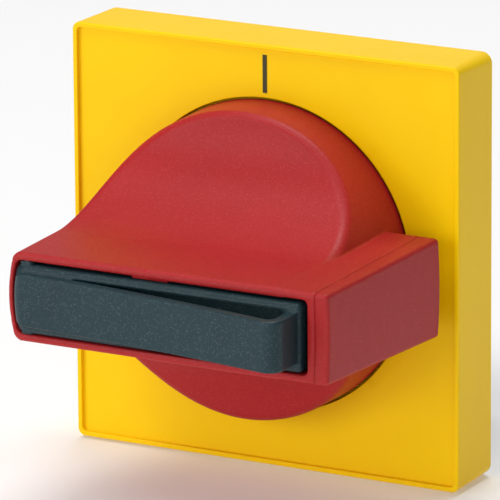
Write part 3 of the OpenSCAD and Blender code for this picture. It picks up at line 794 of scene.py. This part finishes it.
def handle_distance(sizes):
    """Distance function of the red handle without its end cap."""
    lip = sizes.lip_radius / MM

    def distance(x, y, z):
        shape = handle_outside(x, y, z, sizes)
        shape = common(shape, grip_faces(x, y, z)[3], 0.1)
        radius = np.hypot(x, z)
        neck = np.maximum(radius - NECK_R, y - NECK_END_Y)
        neck = np.maximum(neck, -4 - y)
        grooves = np.minimum(*[np.maximum(floor_r - radius, np.abs(y - middle) - half)
                               for floor_r, middle, half in NECK_GROOVES])
        shape = np.minimum(shape, np.maximum(neck, -grooves))
        turn = np.arctan2(z, x) - LUG_ANGLE + 2 * math.pi
        lug = np.maximum.reduce([np.abs(radius - LUG_R) - LUG_HALF_T, y - 3, 1 - y,
                                 (np.abs(turn) - LUG_HALF_ANGLE) * 26])
        shape = np.minimum(shape, lug)
        shape = common(shape, -recess_space(x, y, z), lip)
        shape = np.minimum(shape, np.minimum(*[box_space(x, y, z, *block)
                                               for block in (LEDGE, LATCH_TAB)]))
        bolt = np.hypot(x - BOLT_X, z)
        spaces = [box_space(x, y, z, *block) for block in (TAIL_SPACE, PLUG_SPACE, CATCH_SPACE)]
        spaces += [
            np.maximum(bolt - SPRING_BORE_R, y - SPRING_BORE_END_Y), bolt - BOLT_R - 0.1,
            np.maximum.reduce([np.abs(x) - SHAFT_HALF, np.abs(z) - SHAFT_HALF,
                               SHAFT_FRONT_Y - y]),
            np.maximum(radius - SCREW_BORE_R, y + 10)]
        return np.maximum(shape, -np.minimum.reduce(spaces))
    return distance


def cap_distance(sizes):
    """Distance function of the red end cap, with its plug and catch."""
    def distance(x, y, z):
        shape = common(handle_outside(x, y, z, sizes), 0.05 - grip_faces(x, y, z)[3], 0.1)
        plug = np.maximum(box_space(x, y, z, *PLUG), -box_space(x, y, z, *PLUG_HOLLOW))
        return np.minimum(shape, np.minimum(plug, box_space(x, y, z, *CATCH)))
    return distance


class ISOLATOR_OT_handle(bpy.types.Operator):
    """Builds the red handle and the end cap on its long end"""
    bl_idname = "isolator.handle"
    bl_label = "Handle and end cap"

    def execute(self, context):
        sizes = context.scene.switch_sizes
        cell = sizes.handle_cell / MM
        body = mesh_piece("Handle_Red", *skin_of(
            handle_distance(sizes), (-27.6, -41.4, -27.6), (33, 12.5, 27.6), cell))
        finish_piece(body, "handle", slot_materials()["red_handle"],
                     ["handle_body"])
        cap = mesh_piece("Handle_End_Cap", *skin_of(
            cap_distance(sizes), (29.5, -41.4, -8.9), (36.4, -4.2, 8.9), cell * 0.6))
        finish_piece(cap, "handle", slot_materials()["red_cap"], ["handle_end_cap"])
        return {"FINISHED"}


# ---- padlock lever ----

PIN_X = -23.3
PIN_Y = -40.3
SLAB_HALF = 6.05
SLAB_DROP = 0.15
SLAB_FRONT_Y = -42.0
SLAB_BACK_Y = -35.2
SLAB_END_X = 29.3
SLAB_END_R = 25.6
SLAB_EDGE_R = 1.3
POCKET_HALF = 4.4
POCKET_END_X = 26.2
POCKET_DEPTH = 4
BOW_T = 1.9
BOW_START_X = -17.5
BOW_END_X = 28.9
BOW_CORNER_R = 3.0
BOW_HALF_LEFT = 4.6
BOW_HALF_RIGHT = 4.4
# The bow's outer face: distance in front of the rim at x = 0, its slope, and how fast that grows.
BOW_Y = 45.4
BOW_SLOPE = 0.125
BOW_CURVE = 0.0012
PIN_BOSS_R = 1.3
PIN_HOLE_R = 0.81
TAIL_HALF_T = 1.2
TAIL_HALF_W = 2.5
TAIL_L = 10
CATCH_NOTCH = ((29, -36.2, -2.4), (30, -34, 2.4))
LEVER_SWING = math.radians(25)


def bow_face(x):
    """Depth of the finger bow's outer face."""
    return -(BOW_Y + BOW_SLOPE * x + BOW_CURVE * x * x)


def lever_distance(x, y, z):
    """Distance function of the padlock lever: slab, finger bow, boss and tail."""
    height = np.abs(z)
    end_wall = x - SLAB_END_X
    slab = np.maximum.reduce([SLAB_FRONT_Y - y, y - SLAB_BACK_Y, -27 - x])
    slab = common(common(slab, np.abs(z + SLAB_DROP) - SLAB_HALF, SLAB_EDGE_R), end_wall, 0.8)
    pocket = common(common(height - POCKET_HALF, BOW_START_X - x, 0.6), x - POCKET_END_X, 0.8)
    pocket = np.maximum(pocket, y - SLAB_FRONT_Y - POCKET_DEPTH)
    slab = common(slab, -pocket, 0.4)
    half = BOW_HALF_LEFT + (BOW_HALF_RIGHT - BOW_HALF_LEFT) * (x + 26) / 56
    steepness = np.hypot(1, BOW_SLOPE + 2 * BOW_CURVE * x)
    front = (bow_face(x) - y) / steepness
    bow = common(front, x - BOW_END_X, BOW_CORNER_R)
    bow = common(bow, height - half, 0.35)
    bow = np.maximum.reduce([bow, y - SLAB_FRONT_Y - 0.5, -26 - x])
    gap = common((bow_face(x) + BOW_T - y) / steepness, x - BOW_END_X + BOW_T, 1.4)
    gap = np.maximum(gap, BOW_START_X - x)
    bow = common(bow, -gap, 0.3)
    lever = joined(slab, bow, 0.3)
    boss = np.maximum.reduce([np.hypot(x - PIN_X, y - PIN_Y) - PIN_BOSS_R,
                              height - RECESS_HALF + 0.1, SLAB_FRONT_Y + 0.7 - y])
    radius = np.hypot(x, z)
    swung_x = PIN_X + (x - PIN_X) * math.cos(LEVER_SWING) + (y - PIN_Y) * math.sin(LEVER_SWING)
    left = np.where(x < 0, np.maximum(radius, np.hypot(swung_x, z) - 0.15) - SLAB_END_R, -FAR)
    lever = common(lever, left, 1.2)
    tip = np.hypot(x - PIN_X, y - PIN_Y - TAIL_L) - TAIL_HALF_T
    stem = np.maximum.reduce([np.abs(x - PIN_X) - TAIL_HALF_T, SLAB_BACK_Y - 1 - y,
                              y - PIN_Y - TAIL_L])
    tail = np.maximum(np.minimum(tip, stem), height - TAIL_HALF_W)
    lever = np.minimum(np.minimum(lever, tail), boss)
    pin_hole = np.hypot(x - PIN_X, y - PIN_Y) - PIN_HOLE_R
    return np.maximum(lever, -np.minimum(pin_hole, box_space(x, y, z, *CATCH_NOTCH)))


class ISOLATOR_OT_padlock_lever(bpy.types.Operator):
    """Builds the grey padlock lever with its finger bow"""
    bl_idname = "isolator.padlock_lever"
    bl_label = "Padlock lever"

    def execute(self, context):
        cell = context.scene.switch_sizes.lever_cell / MM
        lever = mesh_piece("Padlock_Lever", *skin_of(
            lever_distance, (-26, -50.2, -6.6), (29.5, -28.8, 6.6), cell))
        finish_piece(lever, "lever", slot_materials()["grey_lever"],
                     ["padlock_lever"])
        return {"FINISHED"}


# ---- fastenings ----

SPRING_TURNS = 7.0
SPRING_R = 2.55
WIRE_R = 0.25
HEAD_R = 2.5
TERMINAL_SCREW_L = 7.9
TERMINAL_SPAN = 24.0
HOUSING_SPAN = (34.0, 18.0)


def slotted_head(name, radius, height, top_y, shank_r, end_y):
    """A cheese-head screw along y, with its head at the back and its shank in front."""
    rim_y, under_y = top_y - 0.25, top_y - height
    profile = [(0, top_y), (radius - 0.25, top_y), (radius, rim_y), (radius, under_y),
               (shank_r, under_y), (shank_r, end_y), (0, end_y)]
    return turned(name, profile, 40)


class ISOLATOR_OT_fastenings(bpy.types.Operator):
    """Builds the lock bolt's spring and the terminal and housing screws of the switch body"""
    bl_idname = "isolator.fastenings"
    bl_label = "Spring and screws"

    def execute(self, context):
        made = slot_materials()
        trees = bpy.data.node_groups
        low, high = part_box("bolt_spring")
        wire = WIRE_R * MM
        spring = mesh_piece("Bolt_Spring", [(0, 0, 0)], [])
        grow(spring, trees["Coil_Spring"], turns=SPRING_TURNS, coil_radius=SPRING_R * MM,
             wire_radius=wire, length=high.y - low.y - 2 * wire,
             start=(BOLT_X * MM, low.y + wire, 0), material=made["spring_steel"])
        spring.data.shade_smooth()
        seat, head = (BOLT_X * MM, high.y, 0), (BOLT_X * MM, low.y, 0)
        finish_piece(spring, "handle", made["spring_steel"], ["bolt_spring"],
                     ("bolt", seat, head))

        low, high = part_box("terminal_screws")
        top = high.y / MM - RIM_Y
        end = top - TERMINAL_SCREW_L
        screw = slotted_head("Terminal_Screws", HEAD_R, 2, top, 1.5, end)
        cut_away(screw, [box_piece("Slot", (-3, top - 1, -0.4), (3, top + 1, 0.4))])
        rows = (high.z - low.z) - 2 * HEAD_R * MM
        grow(screw, trees["Copies_On_Grid"], columns=3, rows=2, width=TERMINAL_SPAN * MM,
             height=rows, material=made["zinc_plated"])
        soften(screw)
        finish_piece(screw, "housing", made["zinc_plated"], ["terminal_screws"])

        low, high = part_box("housing_screws")
        top, end = high.y / MM - RIM_Y, low.y / MM - RIM_Y
        screw = slotted_head("Housing_Screws", HEAD_R, 1.6, top, 1.25, end)
        cut_away(screw, [box_piece("Slot", (-3, top - 0.7, -0.3), (3, top + 1, 0.3))])
        width, rows = (span * MM for span in HOUSING_SPAN)
        grow(screw, trees["Copies_On_Grid"], columns=2, rows=2, width=width, height=rows,
             material=made["zinc_plated"])
        soften(screw)
        finish_piece(screw, "housing", made["zinc_plated"], ["housing_screws"])
        return {"FINISHED"}


# ---- switch body ----

def bevelled_copy(node, name, width_mm, cutters=()):
    """A copy of a CAD node with merged faces, cut by cutters and bevelled along its edges."""
    source = frame["nodes"][node]
    mesh = source.data.copy()
    piece = bpy.data.objects.new(name, mesh)
    bpy.context.scene.collection.objects.link(piece)
    work = bmesh.new()
    work.from_mesh(mesh)
    bmesh.ops.remove_doubles(work, verts=work.verts, dist=1e-6)
    bmesh.ops.dissolve_limit(work, angle_limit=math.radians(3), verts=work.verts,
                             edges=work.edges)
    work.to_mesh(mesh)
    work.free()
    cut_away(piece, cutters)
    bevel = piece.modifiers.new("Bevel", "BEVEL")
    bevel.width = width_mm * MM
    bevel.segments = 2
    bevel.limit_method = "ANGLE"
    bevel.angle_limit = math.radians(50)
    bevel.use_clamp_overlap = True
    settled(piece)
    return soften(piece, 35)


POLE_SEAM_X = 6.0
SEAM_W = 0.7
SEAM_DEPTH = 0.6


class ISOLATOR_OT_switch_body(bpy.types.Operator):
    """Builds the switch cover and base"""
    bl_idname = "isolator.switch_body"
    bl_label = "Switch cover and base"

    def execute(self, context):
        made = slot_materials()
        low, high = (np.array(corner) / MM - (0, RIM_Y, 0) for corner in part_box("switch_base"))
        grooves = []
        for x in (-POLE_SEAM_X, POLE_SEAM_X):
            spans = [((low[1], low[2] - 1), (high[1] + 1, low[2] + SEAM_DEPTH)),
                     ((low[1], high[2] - SEAM_DEPTH), (high[1] + 1, high[2] + 1)),
                     ((high[1] - SEAM_DEPTH, low[2] - 1), (high[1] + 1, high[2] + 1))]
            grooves += [box_piece("Groove", (x - SEAM_W / 2, *start), (x + SEAM_W / 2, *end))
                        for start, end in spans]
        for node, name, cutters in (("switch_cover", "Switch_Cover", []),
                                    ("switch_base", "Switch_Base", grooves)):
            piece = bevelled_copy(node, name, 0.25, cutters)
            finish_piece(piece, "housing", made["black_thermoset"], [node])
        return {"FINISHED"}


# ---- everything else ----

class ISOLATOR_OT_finishes(bpy.types.Operator):
    """Makes the finishes and gives them to the CAD nodes that are shown as they are"""
    bl_idname = "isolator.finishes"
    bl_label = "Finishes"

    def execute(self, context):
        for slot, material in make_materials(context.scene.switch_colours).items():
            material["slot"] = slot
        for node in frame["nodes"]:
            dress_node(node)
        grid_copies_tree()
        coil_tree()
        return {"FINISHED"}


FLOOR_REACH = 6000
CAMERA_PLACE = (513.38, RIM_Y - 950.9, 301.79)
# Turn about the vertical, tilt down and roll, in degrees.
CAMERA_TURNS = (28.49, 15.55, -0.4)
CAMERA_LENS = 468.97
# Name, place and size in millimetres, and power of each soft light.
LIGHTS = (
    ("Overhead", (0, 300, 1400), 600, 10.5),
    ("Key", (-250, -500, 1100), 600, 5.5),
    ("Left", (-700, -1000, 300), 500, 3.7),
    ("Front", (-100, -1300, 250), 500, 2.5),
    ("Right", (700, -900, 250), 500, 1.5),
    ("Back", (-300, 1500, 500), 1500, 3),
)


def area_light(name, place_mm, size_mm, power):
    """A square soft light that faces the origin."""
    light = bpy.data.lights.new(name, "AREA")
    light.shape = "SQUARE"
    light.size = size_mm * MM
    light.energy = power
    lamp = bpy.data.objects.new(name, light)
    lamp.location = Vector(place_mm) * MM
    lamp.rotation_euler = (-Vector(place_mm)).to_track_quat("-Z", "Y").to_euler()
    bpy.context.scene.collection.objects.link(lamp)


class ISOLATOR_OT_stage(bpy.types.Operator):
    """Sets up the floor, the lights and the camera"""
    bl_idname = "isolator.stage"
    bl_label = "Stage"

    def execute(self, context):
        scene = context.scene
        floor_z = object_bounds()[0][2] / MM - 0.5
        points = [(x * FLOOR_REACH, y * FLOOR_REACH, floor_z)
                  for x, y in ((-1, -1), (1, -1), (1, 1), (-1, 1))]
        floor = mesh_piece("Floor", points, [(0, 1, 2, 3)])
        material, _, shader, _ = new_material("Floor_Pale_Paper", 0.9)
        shader.inputs["Base Color"].default_value = (0.8, 0.8, 0.8, 1)
        shader.inputs["Emission Color"].default_value = (1, 1, 1, 1)
        shader.inputs["Emission Strength"].default_value = 0.18
        floor.data.materials.append(material)
        floor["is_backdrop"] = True

        world = bpy.data.worlds.new("Studio")
        world.use_nodes = True
        background = world.node_tree.nodes["Background"]
        background.inputs["Color"].default_value = (1, 1, 1, 1)
        background.inputs["Strength"].default_value = 0.15
        scene.world = world
        for name, spot, size, power in LIGHTS:
            area_light(name, spot, size, power)

        yaw, pitch, roll = (math.radians(a) for a in CAMERA_TURNS)
        camera = bpy.data.cameras.new("Camera")
        camera.sensor_width = 36
        camera.lens = CAMERA_LENS
        camera.clip_end = 50
        eye = bpy.data.objects.new("Camera", camera)
        turn = (Matrix.Rotation(yaw, 4, "Z") @ Matrix.Rotation(math.pi / 2 - pitch, 4, "X")
                @ Matrix.Rotation(roll, 4, "Z"))
        eye.matrix_world = Matrix.Translation(Vector(CAMERA_PLACE) * MM) @ turn
        scene.collection.objects.link(eye)
        scene.camera = eye
        scene.view_settings.view_transform = "Standard"
        return {"FINISHED"}


OPERATORS = (ISOLATOR_OT_finishes, ISOLATOR_OT_front_plate, ISOLATOR_OT_handle,
             ISOLATOR_OT_padlock_lever, ISOLATOR_OT_fastenings, ISOLATOR_OT_switch_body,
             ISOLATOR_OT_stage)


class ISOLATOR_PT_panel(bpy.types.Panel):
    """Lists the pieces of the isolator in the sidebar"""
    bl_label = "Rotary isolator"
    bl_idname = "ISOLATOR_PT_panel"
    bl_space_type = "VIEW_3D"
    bl_region_type = "UI"
    bl_category = "Isolator"

    def draw(self, context):
        for group in (context.scene.switch_sizes, context.scene.switch_colours):
            for name in group.bl_rna.properties.keys():
                if name not in ("rna_type", "name"):
                    self.layout.prop(group, name)
        for operator in OPERATORS:
            self.layout.operator(operator.bl_idname)


CLASSES = (SwitchSizes, SwitchColours, *OPERATORS, ISOLATOR_PT_panel)


def register():
    """Registers the classes and hangs the settings on the scene."""
    for cls in CLASSES:
        bpy.utils.register_class(cls)
    bpy.types.Scene.switch_sizes = PointerProperty(type=SwitchSizes)
    bpy.types.Scene.switch_colours = PointerProperty(type=SwitchColours)


def unregister():
    """Takes the settings and the classes away again."""
    del bpy.types.Scene.switch_colours
    del bpy.types.Scene.switch_sizes
    for cls in reversed(CLASSES):
        bpy.utils.unregister_class(cls)


def main():
    """Builds every piece and the stage."""
    register()
    bpy.ops.isolator.finishes()
    bpy.ops.isolator.front_plate()
    bpy.ops.isolator.handle()
    bpy.ops.isolator.padlock_lever()
    bpy.ops.isolator.fastenings()
    bpy.ops.isolator.switch_body()
    bpy.ops.isolator.stage()


if __name__ == "__main__":
    main()
